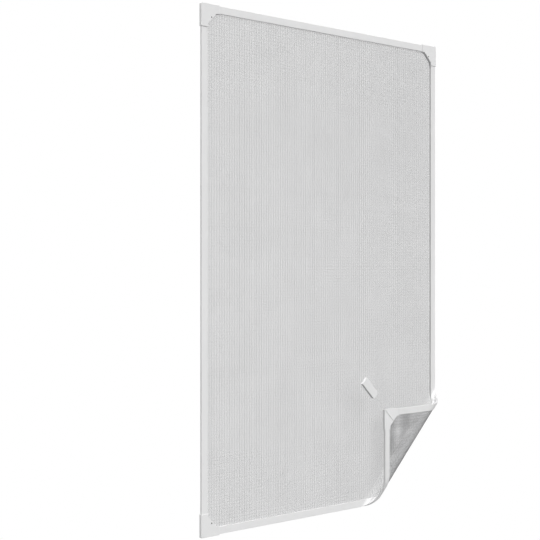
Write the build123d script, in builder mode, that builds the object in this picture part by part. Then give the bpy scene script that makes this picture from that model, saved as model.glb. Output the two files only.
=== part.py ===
from build123d import *
from math import cos, pi, sin, sqrt
import os

os.makedirs("parts", exist_ok=True)

# Window insect screen with its lower right corner peeled forward and folded over.
# +X right, +Z up, the front faces -Y. The origin is the middle of the top strip's magnetic back face.
# All lengths are in millimetres.

# Screen, over the outer edges of its strips
screen_width = 800.0
screen_height = 1200.0

# Edge strips: a flexible profile in front of the net's border and a magnetic band behind it
strip_width = 17.0
profile_thickness = 3.9
profile_chamfer = 0.7
band_thickness = 1.2
band_inset = 0.5

# Insect net: one thin wall, with upright threads raised in front and level threads raised behind
net_wall = 0.2
thread_height = 0.1
thread_width = 1.2
thread_pitch = 16.0
net_inset = 1.5
cells_per_opening_x = 5
cells_per_opening_z = 6

# Fold: it starts at this distance from the corner along both edges and turns half a circle,
# one tight quarter at the start and one wide quarter on the way back
bend_start = 289.0
bend_near_radius = 15.0
bend_far_radius = 35.0
bend_quarter_steps = 9

# Corner sleeves, with a web across the inner corner
sleeve_wall = 1.65
sleeve_front = 1.3
sleeve_clearance = 0.1
sleeve_length = 53.0
sleeve_radius = 2.5
sleeve_chamfer = 0.6
web_length = 24.5
strip_end_gap = 1.5
band_end_gap = 0.4
cord_hole_diameter = 2.4
cord_hole_from_leg = 9.5

# Pull cord, its stop knot and its tab
cord_diameter = 1.2
cord_lift = 0.3
cord_bend = 1.2
cord_free = 51.0
knot_diameter = 4.2
knot_length = 3.0
knot_edge_radius = 0.8
tab_length = 57.0
tab_width = 22.0
tab_thickness = 8.0
tab_cord_end_radius = 6.0
tab_far_end_radius = 2.5
tab_edge_radius = 1.0
tab_bore_depth = 9.0
tab_bore_clearance = 0.1

# Depths behind the front are counted from the magnetic back face, which lies at y = 0
net_thickness = net_wall + 2 * thread_height
net_depth = band_thickness + net_thickness / 2
profile_back = band_thickness + net_thickness
profile_front = profile_back + profile_thickness
sleeve_depth = profile_front + sleeve_clearance + sleeve_front

# Outer edges of the screen, and the directions of the fold
right_x = screen_width / 2
top_z = strip_width / 2
bottom_z = top_z - screen_height
diagonal = sqrt(2)
to_back = Vector(0, 1, 0)
along_fold = Vector(1, 0, 1).normalized()
to_corner = Vector(1, 0, -1).normalized()
quarter_turn = pi / 2
bend_length = quarter_turn * (bend_near_radius + bend_far_radius)
fold_reach = bend_start / diagonal
fold_middle = Vector(right_x - bend_start / 2, 0, bottom_z + bend_start / 2)
near_axis = fold_middle - to_back * (net_depth + bend_near_radius)
far_axis = near_axis + to_corner * (bend_near_radius - bend_far_radius)
bend_start_plane = Plane(origin=fold_middle, x_dir=along_fold, z_dir=to_corner)
bend_end_plane = Plane(origin=far_axis, x_dir=along_fold, z_dir=to_corner)

# Corner sleeve sizes that follow from the strips
sleeve_overhang = sleeve_wall + sleeve_clearance
leg_width = strip_width + 2 * sleeve_overhang
cord_hole_inset = leg_width + cord_hole_from_leg
strip_end = leg_width + strip_end_gap - sleeve_overhang
band_end = sleeve_length + band_end_gap - sleeve_overhang


def folded(point):
    """Where a point of the flat screen beyond the bend lies once the corner is folded over."""
    offset = Vector(point) - fold_middle
    return (
        far_axis
        + along_fold * offset.dot(along_fold)
        - to_corner * (offset.dot(to_corner) - bend_length)
        - to_back * (offset.dot(to_back) + net_depth + bend_far_radius)
    )


def turned(direction):
    """A direction of the flat screen after the half turn about the fold."""
    direction = Vector(direction)
    return (
        direction
        - to_corner * (2 * direction.dot(to_corner))
        - to_back * (2 * direction.dot(to_back))
    )


def folded_plane(plane):
    return Plane(origin=folded(plane.origin), x_dir=turned(plane.x_dir), z_dir=turned(plane.z_dir))


def bend_stations():
    """Places round the bend: a plane across the sheet (x along the fold, y outwards from the
    bend's axis), the radius to the middle of the net, and the length of sheet bent so far."""
    stations = []
    for step in range(2 * bend_quarter_steps + 1):
        angle = quarter_turn * step / bend_quarter_steps
        axis, radius, bent = near_axis, bend_near_radius, bend_near_radius * angle
        if step > bend_quarter_steps:
            axis, radius = far_axis, bend_far_radius
            bent = quarter_turn * bend_near_radius + (angle - quarter_turn) * bend_far_radius
        outwards = to_back * cos(angle) + to_corner * sin(angle)
        plane = Plane(origin=axis, x_dir=along_fold, z_dir=along_fold.cross(outwards))
        stations.append((plane, radius, bent))
    return stations


def profile_outline():
    """Section of the profile: distance in from the screen's outer edge, depth from the back face."""
    return [
        (0, profile_back),
        (strip_width, profile_back),
        (strip_width, profile_front - profile_chamfer),
        (strip_width - profile_chamfer, profile_front),
        (profile_chamfer, profile_front),
        (0, profile_front - profile_chamfer),
    ]


def band_outline():
    """Section of the magnetic band, in the same terms."""
    inner = strip_width - band_inset
    return [(band_inset, 0), (inner, 0), (inner, band_thickness), (band_inset, band_thickness)]


def section(plane, points):
    with BuildSketch(plane) as drawn:
        with BuildLine():
            Polyline(*points, close=True)
        make_face()
    return drawn.sketch


def straight_strip(outline, start_plane, length, cut_plane=None):
    """A straight strip: its section, drawn at one end, extruded to the other or to a cut."""
    with BuildPart() as strip:
        extrude(section(start_plane, outline), amount=length)
        if cut_plane:
            split(bisect_by=cut_plane, keep=Keep.BOTTOM)
    return strip.part


def bent_strip(outline, start_plane, length, end_plane, side):
    """A strip that runs into the fold, round it and out on the folded corner.

    Every section round the bend is cut along the fold, at 45 degrees to the strip, so its width
    is stretched by the diagonal and its place slides along the fold as the bend goes round.
    """
    sections = []
    for plane, radius, bent in bend_stations():
        edge = fold_reach - bent
        points = [
            (side * (inwards * diagonal - edge), radius + net_depth - depth)
            for inwards, depth in outline
        ]
        sections.append(section(plane, points))
    with BuildPart() as strip:
        loft(sections, ruled=True)
        add(straight_strip(outline, start_plane, length, bend_start_plane))
        add(straight_strip(outline, end_plane, -length, bend_end_plane))
    return strip.part


# Planes across the strips: x inwards from the outer edge, y towards the front
def level_plane(x, z, inwards):
    """Across a level strip, at x, with its outer edge at z."""
    front = Vector(0, -1, 0)
    return Plane(origin=(x, 0, z), x_dir=inwards, z_dir=Vector(inwards).cross(front))


def edge_planes(gap):
    """Start and far planes of the four strips, cut short of the screen's corners by gap."""
    right = Vector(1, 0, 0)
    up = Vector(0, 0, 1)
    return {
        "top": (level_plane(right_x - gap, top_z, -up), level_plane(gap - right_x, top_z, -up)),
        "left": (
            level_plane(-right_x, top_z - gap, right),
            level_plane(-right_x, bottom_z + gap, right),
        ),
        "bottom": (
            level_plane(gap - right_x, bottom_z, up),
            level_plane(right_x - gap, bottom_z, up),
        ),
        "right": (
            level_plane(right_x, top_z - gap, -right),
            level_plane(right_x, bottom_z + gap, -right),
        ),
    }


def make_edge_set(prefix, outline, gap):
    """The four strips or bands of one section, each in a node of its own."""
    bend_sides = {"bottom": 1, "right": -1}
    for side, (start, far) in edge_planes(gap).items():
        length = (far.origin - start.origin).dot(start.z_dir)
        if side in bend_sides:
            piece = bent_strip(outline, start, length, folded_plane(far), bend_sides[side])
        else:
            piece = straight_strip(outline, start, length)
        piece.label = f"{prefix}_{side}"
        export_step(piece, f"parts/{piece.label}.step")


make_edge_set("strip", profile_outline(), strip_end)
make_edge_set("band", band_outline(), band_end)


# Insect net
net_front_plane = Plane(origin=(0, -net_depth, 0), x_dir=(1, 0, 0), z_dir=(0, -1, 0))
net_left = net_inset - right_x
net_right = right_x - net_inset
net_top = top_z - net_inset
net_bottom = bottom_z + net_inset
flap_start = bend_start - bend_length * diagonal


def net_outline():
    """The flat net up to the start of the bend."""
    cut = bend_start - net_inset
    return [
        (net_left, net_bottom),
        (right_x - cut, net_bottom),
        (net_right, bottom_z + cut),
        (net_right, net_top),
        (net_left, net_top),
    ]


def flap_outline():
    """The net on the folded corner, in the flat screen's coordinates."""
    cut = flap_start - net_inset
    return [(right_x - cut, net_bottom), (net_right, net_bottom), (net_right, bottom_z + cut)]


def thread_places(first, last):
    """Threads one pitch apart, centred between the two edges."""
    count = int((last - first) / thread_pitch)
    start = (first + last - thread_pitch * (count - 1)) / 2
    return [start + thread_pitch * i for i in range(count)]


def opening_row(first, last, step):
    """Middles of every step-th cell between the threads, centred as well."""
    cells = [place + thread_pitch / 2 for place in thread_places(first, last)[:-1]]
    spare = (len(cells) - 1) % step
    return cells[spare // 2 :: step]


def net_sheet(plane, outline):
    """One flat stretch of net: its wall, upright threads in front and level threads behind."""
    span_x = net_right - net_left
    span_z = net_top - net_bottom
    rise = net_wall / 2 + thread_height
    uprights = [(x, (net_top + net_bottom) / 2) for x in thread_places(net_left, net_right)]
    levels = [(0, z) for z in thread_places(net_bottom, net_top)]
    with BuildPart() as sheet:
        with BuildSketch(plane):
            with BuildLine():
                Polyline(*outline, close=True)
            make_face()
        extrude(amount=net_wall / 2, both=True)
        for places, size, amount in (
            (uprights, (thread_width, span_z), rise),
            (levels, (span_x, thread_width), -rise),
        ):
            with BuildSketch(plane):
                with Locations(*places):
                    Rectangle(*size)
                with BuildLine():
                    Polyline(*outline, close=True)
                make_face(mode=Mode.INTERSECT)
            extrude(amount=amount)
    return sheet.part


def opening_places():
    """Middles of the cells that are cut right through, clear of the strips and the bend."""
    margin = strip_width + thread_pitch
    return [
        (x, z)
        for x in opening_row(net_left, net_right, cells_per_opening_x)
        for z in opening_row(net_bottom, net_top, cells_per_opening_z)
        if abs(x) < right_x - margin
        and bottom_z + margin < z < top_z - margin
        and (right_x - x) + (z - bottom_z) > bend_start + 2 * thread_pitch
    ]


def net_bend_section(plane, radius, bent):
    half = fold_reach - net_inset * diagonal - bent
    inner = radius - net_wall / 2
    outer = radius + net_wall / 2
    return section(plane, [(-half, inner), (half, inner), (half, outer), (-half, outer)])


with BuildPart() as net:
    add(net_sheet(net_front_plane, net_outline()))
    with BuildSketch(net_front_plane.offset(-net_wall / 2)):
        with Locations(*opening_places()):
            Rectangle(thread_pitch - thread_width, thread_pitch - thread_width)
    extrude(amount=net_wall, mode=Mode.SUBTRACT)
net.part.label = "net"
export_step(net.part, "parts/net.step")
print("openings in the net", len(opening_places()))

# The folded stretch of the same net, drawn as a solid of its own because it goes round the fold
with BuildPart() as net_fold:
    add(net_sheet(folded_plane(net_front_plane), flap_outline()))
    loft([net_bend_section(*station) for station in bend_stations()], ruled=True)


# Corner sleeves: x and y along the two legs from the outer tip, z from the back face to the front
def tip_plane(x_side, z_side):
    """Plane of the corner on this side of the screen, with its legs pointing inwards."""
    tip_x = x_side * (right_x + sleeve_overhang)
    middle_z = (top_z + bottom_z) / 2
    tip_z = middle_z + z_side * (screen_height / 2 + sleeve_overhang)
    leg = (-x_side, 0, 0) if x_side == z_side else (0, 0, -z_side)
    return Plane(origin=(tip_x, 0, tip_z), x_dir=leg, z_dir=(0, -1, 0))


def corner_sleeve(plane):
    web_end = leg_width + web_length
    pocket_far = sleeve_length + sleeve_overhang
    pocket_start = strip_end + sleeve_overhang - sleeve_clearance
    pocket_side = sleeve_overhang - sleeve_clearance
    pocket_width = strip_width + 2 * sleeve_clearance
    net_edge = sleeve_overhang + net_inset - sleeve_clearance
    with BuildPart() as sleeve:
        with BuildSketch(plane):
            with BuildLine():
                Polyline(
                    (0, 0),
                    (sleeve_length, 0),
                    (sleeve_length, leg_width),
                    (web_end, leg_width),
                    (leg_width, web_end),
                    (leg_width, sleeve_length),
                    (0, sleeve_length),
                    close=True,
                )
            body = make_face()
            fillet(body.vertices().sort_by_distance((0, 0, 0))[0], sleeve_radius)
        extrude(amount=sleeve_depth)
        front = sleeve.faces().sort_by(Axis(plane.origin, plane.z_dir))[-1]
        chamfer(front.edges(), sleeve_chamfer)
        for x_size, y_size, place in (
            (pocket_far - pocket_start, pocket_width, (pocket_start, pocket_side)),
            (pocket_width, pocket_far - pocket_start, (pocket_side, pocket_start)),
        ):
            with BuildSketch(plane.offset(band_thickness)):
                with Locations(place):
                    Rectangle(x_size, y_size, align=(Align.MIN, Align.MIN))
            extrude(amount=profile_front + sleeve_clearance - band_thickness, mode=Mode.SUBTRACT)
        with BuildSketch(plane.offset(band_thickness)):
            with Locations((net_edge, net_edge)):
                Rectangle(pocket_far, pocket_far, align=(Align.MIN, Align.MIN))
        extrude(amount=net_thickness + sleeve_clearance, mode=Mode.SUBTRACT)
        with BuildSketch(plane):
            with Locations((cord_hole_inset, cord_hole_inset)):
                Circle(cord_hole_diameter / 2)
        extrude(amount=sleeve_depth, mode=Mode.SUBTRACT)
    return sleeve.part


pull_plane = folded_plane(tip_plane(1, -1))
corner_planes = {
    "corner_top_left": tip_plane(-1, 1),
    "corner_top_right": tip_plane(1, 1),
    "corner_bottom_left": tip_plane(-1, -1),
    "corner_pull": pull_plane,
}
for name, plane in corner_planes.items():
    sleeve = corner_sleeve(plane)
    sleeve.label = name
    export_step(sleeve, f"parts/{name}.step")

# The net is pierced where the cord goes through it
with BuildPart(mode=Mode.PRIVATE) as eyelet:
    with BuildSketch(pull_plane):
        with Locations((cord_hole_inset, cord_hole_inset)):
            Circle(cord_hole_diameter / 2)
    extrude(amount=sleeve_depth)
with net_fold:
    add(eyelet.part, mode=Mode.SUBTRACT)
net_fold.part.label = "net_fold"
export_step(net_fold.part, "parts/net_fold.step")


# Pull cord: from its knot through the sleeve's hole, round its edge and straight over the tip
def on_sleeve(from_tip, height):
    """A point on the folded sleeve's diagonal, height above its back face."""
    return pull_plane.from_local_coords((from_tip / diagonal, from_tip / diagonal, height))


cord_height = -(cord_diameter / 2 + cord_lift)
hole_from_tip = cord_hole_inset * diagonal
cord_route = [
    on_sleeve(hole_from_tip, sleeve_depth),
    on_sleeve(hole_from_tip, cord_height),
    on_sleeve(-(cord_free + tab_bore_depth), cord_height),
]
with BuildPart() as pull_cord:
    with BuildLine() as route:
        FilletPolyline(*cord_route, radius=[cord_bend])
    cord_start = Plane(origin=cord_route[0], z_dir=cord_route[1] - cord_route[0])
    with BuildSketch(cord_start):
        Circle(cord_diameter / 2)
    sweep(path=route.wire())
pull_cord.part.label = "pull_cord"
export_step(pull_cord.part, "parts/pull_cord.step")
cord_length = route.wire().length
cord_section = pi * cord_diameter**2 / 4
print("cord arc radius", cord_bend, "length", round(cord_length, 2))
print("cord volume over section times length", round(pull_cord.part.volume / cord_section / cord_length, 4))

# Stop knot, drawn as a small barrel against the sleeve's front
knot_plane = Plane(origin=cord_route[0], z_dir=pull_plane.z_dir)
with BuildPart() as cord_knot:
    with BuildSketch(knot_plane):
        Circle(knot_diameter / 2)
    extrude(amount=knot_length)
    fillet(cord_knot.edges().filter_by(GeomType.CIRCLE), knot_edge_radius)
cord_knot.part.label = "cord_knot"
export_step(cord_knot.part, "parts/cord_knot.step")

# Pull tab, in line with the cord: x along the cord away from the corner
cord_way = (cord_route[2] - cord_route[1]).normalized()
tab_start = on_sleeve(-cord_free, cord_height)
tab_plane = Plane(origin=tab_start, x_dir=cord_way, z_dir=pull_plane.z_dir)
with BuildPart() as pull_tab:
    with BuildSketch(tab_plane):
        with Locations((tab_length / 2, 0)):
            body = Rectangle(tab_length, tab_width)
        corners = body.vertices().sort_by(Axis.X)
        fillet(corners[:2], tab_cord_end_radius)
        fillet(corners[2:], tab_far_end_radius)
    extrude(amount=tab_thickness / 2, both=True)
    rims = pull_tab.faces().sort_by(Axis(tab_start, pull_plane.z_dir))
    fillet(rims[0].edges() + rims[-1].edges(), tab_edge_radius)
    with BuildSketch(Plane(origin=tab_start, z_dir=cord_way)):
        Circle(cord_diameter / 2 + tab_bore_clearance)
    extrude(amount=tab_bore_depth, mode=Mode.SUBTRACT)
pull_tab.part.label = "pull_tab"
export_step(pull_tab.part, "parts/pull_tab.step")
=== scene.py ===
import random
from math import cos, pi, radians, sin

import bmesh
import bpy
from mathutils import Matrix, Vector


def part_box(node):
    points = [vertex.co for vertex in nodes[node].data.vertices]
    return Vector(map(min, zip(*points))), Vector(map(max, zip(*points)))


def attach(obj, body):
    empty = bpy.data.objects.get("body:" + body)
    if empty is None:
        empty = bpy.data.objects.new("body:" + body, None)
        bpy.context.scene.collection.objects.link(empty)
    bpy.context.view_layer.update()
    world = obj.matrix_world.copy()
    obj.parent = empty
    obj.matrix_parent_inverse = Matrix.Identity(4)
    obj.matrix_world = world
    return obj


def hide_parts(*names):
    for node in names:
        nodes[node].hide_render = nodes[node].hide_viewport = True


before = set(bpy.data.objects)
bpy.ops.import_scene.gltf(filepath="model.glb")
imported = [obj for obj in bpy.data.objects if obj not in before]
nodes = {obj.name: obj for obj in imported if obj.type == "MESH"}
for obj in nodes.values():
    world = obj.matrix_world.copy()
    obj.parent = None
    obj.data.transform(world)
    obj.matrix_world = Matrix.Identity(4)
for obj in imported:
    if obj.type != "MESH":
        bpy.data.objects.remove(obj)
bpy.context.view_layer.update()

mm = 0.001

# Places of the screen, read from the frame: fronts face -Y, backs lie at y = 0
rightX = -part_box("strip_left")[0].x
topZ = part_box("strip_top")[1].z
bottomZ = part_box("strip_bottom")[0].z
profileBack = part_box("strip_top")[1].y
netMiddle = (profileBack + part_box("band_top")[0].y) / 2
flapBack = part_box("corner_pull")[0].y

# The fold in the lower right corner: half a turn about a line at 45 degrees, tight and then wide
foldSettings = {
    "start": 289 * mm,  # along each edge, from the corner to where the bend begins
    "nearRadius": 15 * mm,
    "farRadius": 35 * mm,
    "nearSteps": 14,
    "farSteps": 22,
}
alongFold = Vector((1, 0, 1)).normalized()
toCorner = Vector((1, 0, -1)).normalized()
toBack = Vector((0, 1, 0))
nearBend = foldSettings["nearRadius"] * pi / 2
farBend = foldSettings["farRadius"] * pi / 2
foldStart = Vector((rightX - foldSettings["start"] / 2, 0, bottomZ + foldSettings["start"] / 2))
nearAxis = foldStart + toBack * (netMiddle - foldSettings["nearRadius"])
farAxis = nearAxis + toCorner * (foldSettings["nearRadius"] - foldSettings["farRadius"])


def folded(place):
    # Takes a point of the flat screen to where it lies with the corner folded over
    offset = place - foldStart
    across = offset.dot(toCorner)
    if across <= 0:
        return place
    if across < nearBend:
        axis, radius = nearAxis, foldSettings["nearRadius"]
        angle, beyond = across / radius, 0
    else:
        axis, radius = farAxis, foldSettings["farRadius"]
        angle = pi / 2 + min(across - nearBend, farBend) / radius
        beyond = max(across - nearBend - farBend, 0)
    outwards = toBack * cos(angle) + toCorner * sin(angle)
    height = radius + place.y - netMiddle
    return axis + alongFold * offset.dot(alongFold) + outwards * height - toCorner * beyond


def cutBend(bm):
    # Cuts across the bend, one cut for each of its steps
    nearSteps, farSteps = foldSettings["nearSteps"], foldSettings["farSteps"]
    distances = [nearBend * step / nearSteps for step in range(nearSteps)]
    distances += [nearBend + farBend * step / farSteps for step in range(farSteps + 1)]
    for distance in distances:
        geometry = bm.verts[:] + bm.edges[:] + bm.faces[:]
        place = foldStart + toCorner * distance
        bmesh.ops.bisect_plane(bm, geom=geometry, plane_co=place, plane_no=toCorner)


def foldOver(bm):
    for vert in bm.verts:
        vert.co = folded(vert.co)


def addBlock(bm, low, high):
    # A box between two corners
    size = Vector(high) - Vector(low)
    middle = (Vector(high) + Vector(low)) / 2
    matrix = Matrix.Translation(middle) @ Matrix.Diagonal((*size, 1))
    bmesh.ops.create_cube(bm, size=1, matrix=matrix)


def lengthUv(bm, lengthways):
    # UV from the place on the flat screen, in metres: u along the strip, v across it
    layer = bm.loops.layers.uv.new("lengthways")
    for face in bm.faces:
        for loop in face.loops:
            x, z = loop.vert.co.x, loop.vert.co.z
            loop[layer].uv = (x, z) if lengthways == "x" else (z, x)


def roundEdges(bm, edges, radius, segments):
    bmesh.ops.bevel(
        bm, geom=edges, offset=radius, segments=segments, profile=0.5, affect="EDGES", material=-1
    )


def keep(bm, name, material, smoothAngle):
    mesh = bpy.data.meshes.new(name)
    bm.to_mesh(mesh)
    bm.free()
    piece = bpy.data.objects.new(name, mesh)
    bpy.context.scene.collection.objects.link(piece)
    mesh.materials.append(material)
    mesh.shade_smooth()
    mesh.set_sharp_from_angle(angle=radians(smoothAngle))
    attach(piece, "root")
    return piece


def levelNormals(piece):
    # Keeps the large flat faces flat beside rounded edges
    modifier = piece.modifiers.new("levelNormals", "WEIGHTED_NORMAL")
    modifier.keep_sharp = True


# Camera
cameraSettings = {
    "place": (-2.0378, -2.0836, -0.5910),
    "towards": 48.43,  # degrees from +X to +Y
    "lens": 78.47,
    "sensor": 36,
    "farthest": 50,  # metres
}


def makeCamera():
    data = bpy.data.cameras.new("camera")
    data.lens = cameraSettings["lens"]
    data.sensor_width = cameraSettings["sensor"]
    data.clip_end = cameraSettings["farthest"]
    camera = bpy.data.objects.new("camera", data)
    bpy.context.scene.collection.objects.link(camera)
    camera.location = cameraSettings["place"]
    camera.rotation_euler = (pi / 2, 0, radians(cameraSettings["towards"] - 90))
    bpy.context.scene.camera = camera
    print("camera made")


# Studio: the floor and backdrop look white but throw only a little light. A soft key comes from
# above in front, a dim rim light from above and behind, and a panel overhead shows only in gloss
studioSettings = {
    "floorDrop": 0.45,
    "floorSize": 8,
    "floorColour": (0.24, 0.24, 0.24, 1),
    "floorRoughness": 0.9,
    "backdrop": 1.0,
    "allRound": 0.42,
    "key": {"strength": 2.6, "way": (0.1, 0.72, -0.69), "spread": 48},
    "rim": {"strength": 1.6, "way": (0.12, -0.7, -0.7), "spread": 70},
    "panel": {"strength": 9.0, "way": (0.08, -0.34, -0.94), "spread": 90},
}


def seenOrLit(tree, seen, lit, output):
    # The camera gets the first shader, and all other rays the second
    path = tree.nodes.new("ShaderNodeLightPath")
    mix = tree.nodes.new("ShaderNodeMixShader")
    tree.links.new(path.outputs["Is Camera Ray"], mix.inputs[0])
    tree.links.new(lit, mix.inputs[1])
    tree.links.new(seen, mix.inputs[2])
    tree.links.new(mix.outputs[0], output.inputs["Surface"])


def addSun(name):
    settings = studioSettings[name]
    data = bpy.data.lights.new(name, "SUN")
    data.energy = settings["strength"]
    data.angle = radians(settings["spread"])
    sun = bpy.data.objects.new(name, data)
    sun.rotation_euler = Vector(settings["way"]).to_track_quat("-Z", "Y").to_euler()
    bpy.context.scene.collection.objects.link(sun)
    return sun


def makeStudio():
    bm = bmesh.new()
    bmesh.ops.create_grid(bm, x_segments=1, y_segments=1, size=studioSettings["floorSize"])
    bmesh.ops.translate(bm, verts=bm.verts, vec=(0, 0, bottomZ - studioSettings["floorDrop"]))
    floorMaterial = bpy.data.materials.new("floor")
    floorMaterial.use_nodes = True
    tree = floorMaterial.node_tree
    shader = tree.nodes["Principled BSDF"]
    shader.inputs["Base Color"].default_value = studioSettings["floorColour"]
    shader.inputs["Roughness"].default_value = studioSettings["floorRoughness"]
    white = tree.nodes.new("ShaderNodeEmission")
    white.inputs["Strength"].default_value = studioSettings["backdrop"]
    seenOrLit(tree, white.outputs[0], shader.outputs[0], tree.nodes["Material Output"])
    mesh = bpy.data.meshes.new("floor")
    bm.to_mesh(mesh)
    bm.free()
    floor = bpy.data.objects.new("floor", mesh)
    mesh.materials.append(floorMaterial)
    bpy.context.scene.collection.objects.link(floor)

    world = bpy.data.worlds.new("studio")
    bpy.context.scene.world = world
    world.use_nodes = True
    tree = world.node_tree
    lighting = tree.nodes["Background"]
    lighting.inputs["Color"].default_value = (1, 1, 1, 1)
    lighting.inputs["Strength"].default_value = studioSettings["allRound"]
    backdrop = tree.nodes.new("ShaderNodeBackground")
    backdrop.inputs["Color"].default_value = (1, 1, 1, 1)
    backdrop.inputs["Strength"].default_value = studioSettings["backdrop"]
    seenOrLit(tree, backdrop.outputs[0], lighting.outputs[0], tree.nodes["World Output"])

    addSun("key")
    addSun("rim")
    addSun("panel").visible_diffuse = False
    bpy.context.scene.view_settings.view_transform = "Standard"
    print("studio made")


# Shared effects, as node groups
def makeGroup(name, inputs, outputs):
    group = bpy.data.node_groups.new(name, "ShaderNodeTree")
    for label, value in inputs:
        socket = group.interface.new_socket(label, in_out="INPUT", socket_type="NodeSocketFloat")
        socket.default_value = value
    for label in outputs:
        group.interface.new_socket(label, in_out="OUTPUT", socket_type="NodeSocketFloat")
    return group, group.nodes.new("NodeGroupInput"), group.nodes.new("NodeGroupOutput")


def feed(tree, value, socket):
    # Links another node's output to the socket, or sets a plain value on it
    if isinstance(value, bpy.types.NodeSocket):
        tree.links.new(value, socket)
    else:
        socket.default_value = value


def addNoise(tree, vector, scale, detail, roughness=0.5):
    noise = tree.nodes.new("ShaderNodeTexNoise")
    noise.inputs["Detail"].default_value = detail
    noise.inputs["Roughness"].default_value = roughness
    tree.links.new(vector, noise.inputs["Vector"])
    feed(tree, scale, noise.inputs["Scale"])
    return noise.outputs["Fac"]


def addRange(tree, value, fromRange, toRange):
    node = tree.nodes.new("ShaderNodeMapRange")
    node.inputs["From Min"].default_value, node.inputs["From Max"].default_value = fromRange
    node.inputs["To Min"].default_value, node.inputs["To Max"].default_value = toRange
    tree.links.new(value, node.inputs["Value"])
    return node.outputs["Result"]


def addMath(tree, operation, *values):
    node = tree.nodes.new("ShaderNodeMath")
    node.operation = operation
    for value, socket in zip(values, node.inputs):
        feed(tree, value, socket)
    return node.outputs[0]


def addShares(tree, first, second, share):
    # The first value times its share, plus the second times the rest
    rest = addMath(tree, "MULTIPLY", second, 1 - share)
    return addMath(tree, "MULTIPLY_ADD", first, share, rest)


noiseSpread = (0.35, 0.65)  # nearly all of a noise lies between these
lineStretch = 0.004  # draws a noise out into lines along the strip
smudgeSpread = (0.52, 0.7)  # smudges show only where the noise is high


def makePlasticGrain():
    # Fine stipple of the mould, and wide soft patches where the surface is a little duller
    group, start, end = makeGroup(
        "plasticGrain", [("Stipple Scale", 2600), ("Patch Scale", 22)], ["Height", "Patches"]
    )
    place = group.nodes.new("ShaderNodeTexCoord").outputs["Object"]
    stipple = addNoise(group, place, start.outputs["Stipple Scale"], detail=2)
    patches = addNoise(group, place, start.outputs["Patch Scale"], detail=4, roughness=0.6)
    group.links.new(stipple, end.inputs["Height"])
    group.links.new(addRange(group, patches, noiseSpread, (0, 1)), end.inputs["Patches"])
    return group


def makeDrawnLines():
    # Faint lines left lengthways by the die, from the UV along the strip
    group, start, end = makeGroup("drawnLines", [("Line Scale", 1100)], ["Height", "Lines"])
    place = group.nodes.new("ShaderNodeTexCoord").outputs["UV"]
    stretch = group.nodes.new("ShaderNodeVectorMath")
    stretch.operation = "MULTIPLY"
    stretch.inputs[1].default_value = (lineStretch, 1, 1)
    group.links.new(place, stretch.inputs[0])
    scale = start.outputs["Line Scale"]
    lines = addNoise(group, stretch.outputs[0], scale, detail=3, roughness=0.65)
    group.links.new(lines, end.inputs["Height"])
    group.links.new(addRange(group, lines, noiseSpread, (0, 1)), end.inputs["Lines"])
    return group


def makeHandling():
    # Soft smudges where hands take hold
    group, start, end = makeGroup("handling", [("Smudge Scale", 60)], ["Smudges"])
    place = group.nodes.new("ShaderNodeTexCoord").outputs["Object"]
    smudges = addNoise(group, place, start.outputs["Smudge Scale"], detail=5, roughness=0.7)
    group.links.new(addRange(group, smudges, smudgeSpread, (0, 1)), end.inputs["Smudges"])
    return group


plasticGrain = makePlasticGrain()
drawnLines = makeDrawnLines()
handling = makeHandling()


def newMaterial(name):
    material = bpy.data.materials.new(name)
    material.use_nodes = True
    tree = material.node_tree
    return material, tree, tree.nodes["Principled BSDF"]


def placeGroup(tree, group, **values):
    node = tree.nodes.new("ShaderNodeGroup")
    node.node_tree = group
    for label, value in values.items():
        node.inputs[label.replace("_", " ")].default_value = value
    return node


def mixColours(tree, mask, low, high):
    # A colour between two others, each plain or another node's output
    mix = tree.nodes.new("ShaderNodeMix")
    mix.data_type = "RGBA"
    tree.links.new(mask, mix.inputs["Factor"])
    for colour, label in ((low, "A"), (high, "B")):
        plain = isinstance(colour, tuple)
        feed(tree, (*colour, 1) if plain else colour, mix.inputs[label])
    return mix.outputs["Result"]


def addBump(tree, shader, height, distance):
    bump = tree.nodes.new("ShaderNodeBump")
    bump.inputs["Distance"].default_value = distance
    tree.links.new(height, bump.inputs["Height"])
    tree.links.new(bump.outputs["Normal"], shader.inputs["Normal"])


profileFinish = {
    "dull": (0.725, 0.725, 0.727),
    "bright": (0.755, 0.755, 0.755),
    "roughness": (0.28, 0.4),
    "stippleScale": 3200,
    "lineTone": 0.5,  # share of the drawn lines in the tone, beside the patches
    "lineRelief": 0.6,  # and in the relief, beside the stipple
    "relief": 0.03 * mm,
}


def makeProfileMaterial():
    # Satin extruded plastic with lines along its length
    finish = profileFinish
    material, tree, shader = newMaterial("profile")
    grain = placeGroup(tree, plasticGrain, Stipple_Scale=finish["stippleScale"])
    lines = placeGroup(tree, drawnLines)
    tone = addShares(tree, lines.outputs["Lines"], grain.outputs["Patches"], finish["lineTone"])
    colour = mixColours(tree, tone, finish["dull"], finish["bright"])
    tree.links.new(colour, shader.inputs["Base Color"])
    tree.links.new(addRange(tree, tone, (0, 1), finish["roughness"]), shader.inputs["Roughness"])
    height = addShares(tree, lines.outputs["Height"], grain.outputs["Height"], finish["lineRelief"])
    addBump(tree, shader, height, finish["relief"])
    return material


bandFinish = {
    "dull": (0.70, 0.70, 0.70),
    "bright": (0.735, 0.735, 0.732),
    "roughness": (0.55, 0.68),
    "stippleScale": 1500,
    "patchScale": 35,
    "lineScale": 500,
    "lineRelief": 0.5,
    "relief": 0.05 * mm,
}


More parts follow.
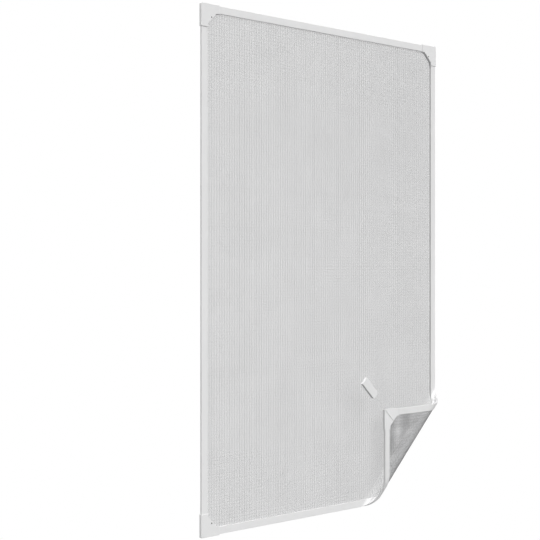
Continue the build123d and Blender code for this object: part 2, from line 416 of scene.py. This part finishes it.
def makeBandMaterial():
    # Matte magnetic rubber with calender lines
    finish = bandFinish
    material, tree, shader = newMaterial("magnetBand")
    grain = placeGroup(
        tree, plasticGrain, Stipple_Scale=finish["stippleScale"], Patch_Scale=finish["patchScale"]
    )
    lines = placeGroup(tree, drawnLines, Line_Scale=finish["lineScale"])
    patches = grain.outputs["Patches"]
    colour = mixColours(tree, patches, finish["dull"], finish["bright"])
    tree.links.new(colour, shader.inputs["Base Color"])
    tree.links.new(addRange(tree, patches, (0, 1), finish["roughness"]), shader.inputs["Roughness"])
    height = addShares(tree, lines.outputs["Height"], grain.outputs["Height"], finish["lineRelief"])
    addBump(tree, shader, height, finish["relief"])
    return material


cornerFinish = {
    "dull": (0.725, 0.725, 0.727),
    "bright": (0.755, 0.755, 0.755),
    "paintedHoleShade": (0.12, 0.12, 0.12),  # painted shade inside the cord's hole
    "roughness": (0.34, 0.44),
    "smudgeRoughness": 0.08,  # added where hands take hold
    "relief": 0.02 * mm,
}
tabFinish = {
    "dull": (0.725, 0.725, 0.727),
    "bright": (0.74, 0.74, 0.74),
    "roughness": (0.26, 0.34),
    "smudgeRoughness": 0.08,
    "relief": 0.008 * mm,
}


def makeMouldedMaterial(name, finish):
    # Moulded plastic: fine stipple, duller patches and smudges, and painted shade in a hole where the
    # finish has it
    material, tree, shader = newMaterial(name)
    grain = placeGroup(tree, plasticGrain)
    marks = placeGroup(tree, handling)
    patches = grain.outputs["Patches"]
    colour = mixColours(tree, patches, finish["dull"], finish["bright"])
    # Painted shade: the marked wall and rim of the cord's hole take a near-black colour
    if "paintedHoleShade" in finish:
        paintedHoleShade = tree.nodes.new("ShaderNodeAttribute")
        paintedHoleShade.attribute_name = "paintedHoleShade"
        colour = mixColours(tree, paintedHoleShade.outputs["Fac"], colour, finish["paintedHoleShade"])
    tree.links.new(colour, shader.inputs["Base Color"])
    clean = addRange(tree, patches, (0, 1), finish["roughness"])
    smudges = marks.outputs["Smudges"]
    handled = addMath(tree, "MULTIPLY_ADD", smudges, finish["smudgeRoughness"], clean)
    tree.links.new(handled, shader.inputs["Roughness"])
    addBump(tree, shader, grain.outputs["Height"], finish["relief"])
    return material


cordFinish = {
    "dull": (0.78, 0.78, 0.78),
    "bright": (0.9, 0.9, 0.89),
    "roughness": 0.8,
    "sheen": 0.3,
    "fibreScale": 5200,
    "relief": 0.05 * mm,
}


def makeCordMaterial():
    # Spun cord: fibres, with a soft sheen
    finish = cordFinish
    material, tree, shader = newMaterial("cord")
    place = tree.nodes.new("ShaderNodeTexCoord").outputs["Object"]
    fibres = addNoise(tree, place, finish["fibreScale"], detail=3, roughness=0.7)
    mask = addRange(tree, fibres, noiseSpread, (0, 1))
    colour = mixColours(tree, mask, finish["dull"], finish["bright"])
    tree.links.new(colour, shader.inputs["Base Color"])
    shader.inputs["Roughness"].default_value = finish["roughness"]
    shader.inputs["Sheen Weight"].default_value = finish["sheen"]
    addBump(tree, shader, fibres, finish["relief"])
    return material


netFinish = {
    "dull": (0.28, 0.28, 0.285),
    "bright": (0.35, 0.35, 0.355),
    "roughness": (0.45, 0.62),
    "wideScale": 9,
    "fineScale": 1400,
    "wideTone": 0.6,  # share of the wide pattern in the tone, beside the fine one
    "toneSpread": (0.38, 0.62),
    "fineSpread": (0.3, 0.7),
    "relief": 0.04 * mm,
}


def makeNetMaterial():
    # Grey coated yarn: even coating with slightly paler and darker stretches
    finish = netFinish
    material, tree, shader = newMaterial("net")
    place = tree.nodes.new("ShaderNodeTexCoord").outputs["Object"]
    wide = addNoise(tree, place, finish["wideScale"], detail=4, roughness=0.6)
    fine = addNoise(tree, place, finish["fineScale"], detail=3, roughness=0.6)
    tone = addShares(tree, wide, fine, finish["wideTone"])
    mask = addRange(tree, tone, finish["toneSpread"], (0, 1))
    colour = mixColours(tree, mask, finish["dull"], finish["bright"])
    tree.links.new(colour, shader.inputs["Base Color"])
    rough = addRange(tree, fine, finish["fineSpread"], finish["roughness"])
    tree.links.new(rough, shader.inputs["Roughness"])
    addBump(tree, shader, fine, finish["relief"])
    return material


profileMaterial = makeProfileMaterial()
bandMaterial = makeBandMaterial()
cornerMaterial = makeMouldedMaterial("corner", cornerFinish)
tabMaterial = makeMouldedMaterial("tab", tabFinish)
cordMaterial = makeCordMaterial()
netMaterial = makeNetMaterial()
print("materials made")


# Insect net: two sets of straight threads, folded with the corner
netSettings = {
    "pitch": 1.5 * mm,
    "threadWidth": (0.28 * mm, 0.34 * mm),  # each thread takes its own between these
    "strongUpright": (0.6 * mm, 0.68 * mm),
    "strongLevel": (0.4 * mm, 0.46 * mm),
    "strongEvery": 5,  # every fifth thread is a strong one, which gives the faint coarser grid
    "threadDepth": 0.18 * mm,
    "inset": 1.5 * mm,  # from the screen's outer edges
    "drift": 0.07 * mm,  # how far a thread may lie beside its place
    "seed": 5,
}


def threadSpots(first, last, strong, rng):
    # Sides of each thread from edge to edge, with small irregularities
    pitch = netSettings["pitch"]
    spots = []
    for i in range(int((last - first) / pitch)):
        kind = "threadWidth" if i % netSettings["strongEvery"] else strong
        side = first + i * pitch + rng.uniform(0, netSettings["drift"])
        spots.append((side, side + rng.uniform(*netSettings[kind])))
    return spots


def makeNet():
    bm = bmesh.new()
    rng = random.Random(netSettings["seed"])
    depth, inset = netSettings["threadDepth"], netSettings["inset"]
    lowX, highX = inset - rightX, rightX - inset
    lowZ, highZ = bottomZ + inset, topZ - inset
    for low, high in threadSpots(lowX, highX, "strongUpright", rng):
        addBlock(bm, (low, netMiddle - depth, lowZ), (high, netMiddle, highZ))
    for low, high in threadSpots(lowZ, highZ, "strongLevel", rng):
        addBlock(bm, (lowX, netMiddle, low), (highX, netMiddle + depth, high))
    cutBend(bm)
    foldOver(bm)
    net = keep(bm, "insectNet", netMaterial, smoothAngle=40)
    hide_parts("net", "net_fold")
    print("net made:", len(net.data.polygons), "faces")


# Edge strips and magnetic bands: drawn flat, then folded with the corner
edgeSettings = {
    "strip": {"front": 0.6 * mm, "back": 0.25 * mm, "segments": 3},
    "band": {"front": 0.1 * mm, "back": 0.3 * mm, "segments": 2},
}
longEdge = 100 * mm  # a longer edge of the flat strip runs along it


def flatSpan(kind, side):
    # Corners of a strip or band on the flat screen: bottom and right mirror top and left
    low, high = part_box(f"{kind}_top" if side in ("top", "bottom") else f"{kind}_left")
    if side == "bottom":
        low.z, high.z = topZ + bottomZ - high.z, topZ + bottomZ - low.z
    if side == "right":
        low.x, high.x = -high.x, -low.x
    return low, high


def makeEdges(kind, material):
    settings = edgeSettings[kind]
    for side in ("top", "left", "bottom", "right"):
        lengthways = "x" if side in ("top", "bottom") else "z"
        low, high = flatSpan(kind, side)
        bm = bmesh.new()
        addBlock(bm, low, high)
        middle = (low.y + high.y) / 2
        for isFront, radius in ((True, settings["front"]), (False, settings["back"])):
            edges = [
                edge
                for edge in bm.edges
                if abs(getattr(edge.verts[0].co - edge.verts[1].co, lengthways)) > longEdge
                and all((vert.co.y < middle) == isFront for vert in edge.verts)
            ]
            roundEdges(bm, edges, radius, settings["segments"])
        cutBend(bm)
        lengthUv(bm, lengthways)
        foldOver(bm)
        piece = keep(bm, f"{side}{kind.capitalize()}", material, smoothAngle=40)
        levelNormals(piece)
        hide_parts(f"{kind}_{side}")
    print(kind + "s made")


# Corner sleeves: the CAD shape with its front edges and hole rounded, and the hole's wall marked for
# painted shade
sleeveSettings = {
    "shell": 5.7 * mm,  # deeper than this from the back is the front shell
    "round": 0.22 * mm,
    "segments": 2,
    "holeInset": 30.0 * mm,  # from the sleeve's two outer sides to the middle of its hole
    "holeReach": 1.3 * mm,
    "holeRound": 0.5 * mm,
    "sharp": 30,  # degrees; a blunter edge isn't rounded
    "flat": 0.99,  # a face that points this straight forwards or back isn't the hole's
}
# How the CAD model's loose triangles are joined again, the angle in degrees
mergeSettings = {"distance": 0.002 * mm, "angle": 1}


def mergedCopy(node):
    bm = bmesh.new()
    bm.from_mesh(nodes[node].data)
    bmesh.ops.remove_doubles(bm, verts=bm.verts, dist=mergeSettings["distance"])
    angle = radians(mergeSettings["angle"])
    bmesh.ops.dissolve_limit(bm, angle_limit=angle, verts=bm.verts, edges=bm.edges)
    return bm


def holeMiddle(node):
    low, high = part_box(node)
    inset = sleeveSettings["holeInset"]
    x = high.x - inset if node == "corner_top_right" else low.x + inset
    z = low.z + inset if node == "corner_bottom_left" else high.z - inset
    return Vector((x, 0, z))


def nearHole(part, hole, reach):
    return all((vert.co - hole).xz.length < reach for vert in part.verts)


def markHole(bm, hole):
    # Marks the hole's wall and rim, which the material darkens with painted shade
    reach = sleeveSettings["holeReach"] + sleeveSettings["holeRound"]
    layer = bm.loops.layers.float_color.new("paintedHoleShade")
    for face in bm.faces:
        steep = abs(face.normal.y) < sleeveSettings["flat"]
        inside = float(steep and nearHole(face, hole, reach))
        for loop in face.loops:
            loop[layer] = (inside, inside, inside, 1)


def makeSleeves():
    for node in ("corner_top_left", "corner_top_right", "corner_bottom_left", "corner_pull"):
        bm = mergedCopy(node)
        hole = holeMiddle(node)
        backY, way = (flapBack, 1) if node == "corner_pull" else (0, -1)
        for atHole, radius in ((False, sleeveSettings["round"]), (True, sleeveSettings["holeRound"])):
            rims = [
                edge
                for edge in bm.edges
                if edge.calc_face_angle(0) > radians(sleeveSettings["sharp"])
                and nearHole(edge, hole, sleeveSettings["holeReach"]) == atHole
                and all((vert.co.y - backY) * way > sleeveSettings["shell"] for vert in edge.verts)
            ]
            roundEdges(bm, rims, radius, sleeveSettings["segments"])
        markHole(bm, hole)
        name = "corner" + node[len("corner") :].title().replace("_", "")
        piece = keep(bm, name, cornerMaterial, smoothAngle=35)
        levelNormals(piece)
        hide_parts(node)
    print("sleeves made")


# Pull tab: the CAD shape as it is
def makeTab():
    bm = mergedCopy("pull_tab")
    tab = keep(bm, "pullTab", tabMaterial, smoothAngle=35)
    levelNormals(tab)
    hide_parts("pull_tab")
    print("tab made")
    return tab


# Pull cord: three strands twisted about one line, from the knot out over the sleeve to the tab
cordSettings = {
    "route": [  # from the knot out through the hole, over the sleeve and into the tab
        (0.18064, -0.0459, -0.97214),
        (0.18064, -0.0510, -0.97214),
        (0.18064, -0.0537, -0.97214),
        (0.17470, -0.0537, -0.96620),
        (0.10822, -0.0537, -0.89972),
    ],
    "diameter": 1.2 * mm,
    "strands": 3,
    "strandRadius": 0.35 * mm,
    "twist": 3.6 * mm,  # length of one turn
    "stepsInTurn": 10,
    "routeSteps": 24,
    "tubeResolution": 2,  # of the strands and the knot
}


def routeLine(points):
    # Points along the smooth line with these control points
    curve = bpy.data.curves.new("route", "CURVE")
    curve.dimensions = "3D"
    curve.resolution_u = cordSettings["routeSteps"]
    spline = curve.splines.new("NURBS")
    spline.points.add(len(points) - 1)
    for point, place in zip(spline.points, points):
        point.co = (*place, 1)
    spline.order_u = 3
    spline.use_endpoint_u = True
    holder = bpy.data.objects.new("route", curve)
    mesh = bpy.data.meshes.new_from_object(holder)
    line = [vert.co.copy() for vert in mesh.vertices]
    bpy.data.objects.remove(holder)
    bpy.data.curves.remove(curve)
    bpy.data.meshes.remove(mesh)
    return line


def evenSteps(line, step):
    # The same line, with points one step apart
    places = [line[0]]
    for bend in line[1:]:
        while (bend - places[-1]).length >= step:
            onwards = (bend - places[-1]).normalized()
            places.append(places[-1] + onwards * step)
    return places + [line[-1]]


def tubesMesh(lines, radius, cyclic=False):
    # Round tubes along several lines, as one mesh
    curve = bpy.data.curves.new("tubes", "CURVE")
    curve.dimensions = "3D"
    curve.bevel_depth = radius
    curve.bevel_resolution = cordSettings["tubeResolution"]
    curve.use_fill_caps = not cyclic
    for line in lines:
        spline = curve.splines.new("POLY")
        spline.points.add(len(line) - 1)
        for point, place in zip(spline.points, line):
            point.co = (*place, 1)
        spline.use_cyclic_u = cyclic
    holder = bpy.data.objects.new("tubes", curve)
    mesh = bpy.data.meshes.new_from_object(holder)
    bm = bmesh.new()
    bm.from_mesh(mesh)
    bmesh.ops.recalc_face_normals(bm, faces=bm.faces)
    bpy.data.objects.remove(holder)
    bpy.data.curves.remove(curve)
    bpy.data.meshes.remove(mesh)
    return bm


def makeCord(tab, knot):
    step = cordSettings["twist"] / cordSettings["stepsInTurn"]
    line = evenSteps(routeLine(cordSettings["route"]), step)
    strandRadius = cordSettings["strandRadius"]
    offset = cordSettings["diameter"] / 2 - strandRadius
    side = alongFold
    strands = [[] for strand in range(cordSettings["strands"])]
    for i, place in enumerate(line):
        onwards = (line[min(i + 1, len(line) - 1)] - line[max(i - 1, 0)]).normalized()
        up = onwards.cross(side).normalized()
        for strand, points in enumerate(strands):
            turn = 2 * pi * (i / cordSettings["stepsInTurn"] + strand / cordSettings["strands"])
            points.append(place + (side * cos(turn) + up * sin(turn)) * offset)
    bm = tubesMesh(strands, strandRadius)
    cord = keep(bm, "pullCord", cordMaterial, smoothAngle=60)
    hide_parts("pull_cord")


# Stop knot: an overhand knot pulled small against the sleeve's front
knotSettings = {
    "width": 4.2 * mm,
    "thickness": 3.0 * mm,
    "cord": 1.1 * mm,
    "points": 96,
    "middle": 0.66,  # mean distance of the loops from the knot's axis, as a share of its reach
    "swing": 0.34,  # and how far they go in and out
}


def makeKnot():
    low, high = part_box("cord_knot")
    middle = (low + high) / 2
    half = knotSettings["cord"] / 2
    rise = knotSettings["thickness"] / 2 - half
    reach = knotSettings["width"] / 2 - half
    line = []
    for i in range(knotSettings["points"]):
        turn = 2 * pi * i / knotSettings["points"]
        radius = reach * (knotSettings["middle"] + knotSettings["swing"] * cos(3 * turn))
        line.append(
            middle + Vector((radius * cos(2 * turn), rise * sin(3 * turn), radius * sin(2 * turn)))
        )
    bm = tubesMesh([line], half, cyclic=True)
    knot = keep(bm, "stopKnot", cordMaterial, smoothAngle=60)
    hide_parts("cord_knot")
    print("knot made")
    return knot


makeCamera()
makeStudio()
makeCord(makeTab(), makeKnot())
makeNet()
makeEdges("strip", profileMaterial)
makeEdges("band", bandMaterial)
makeSleeves()
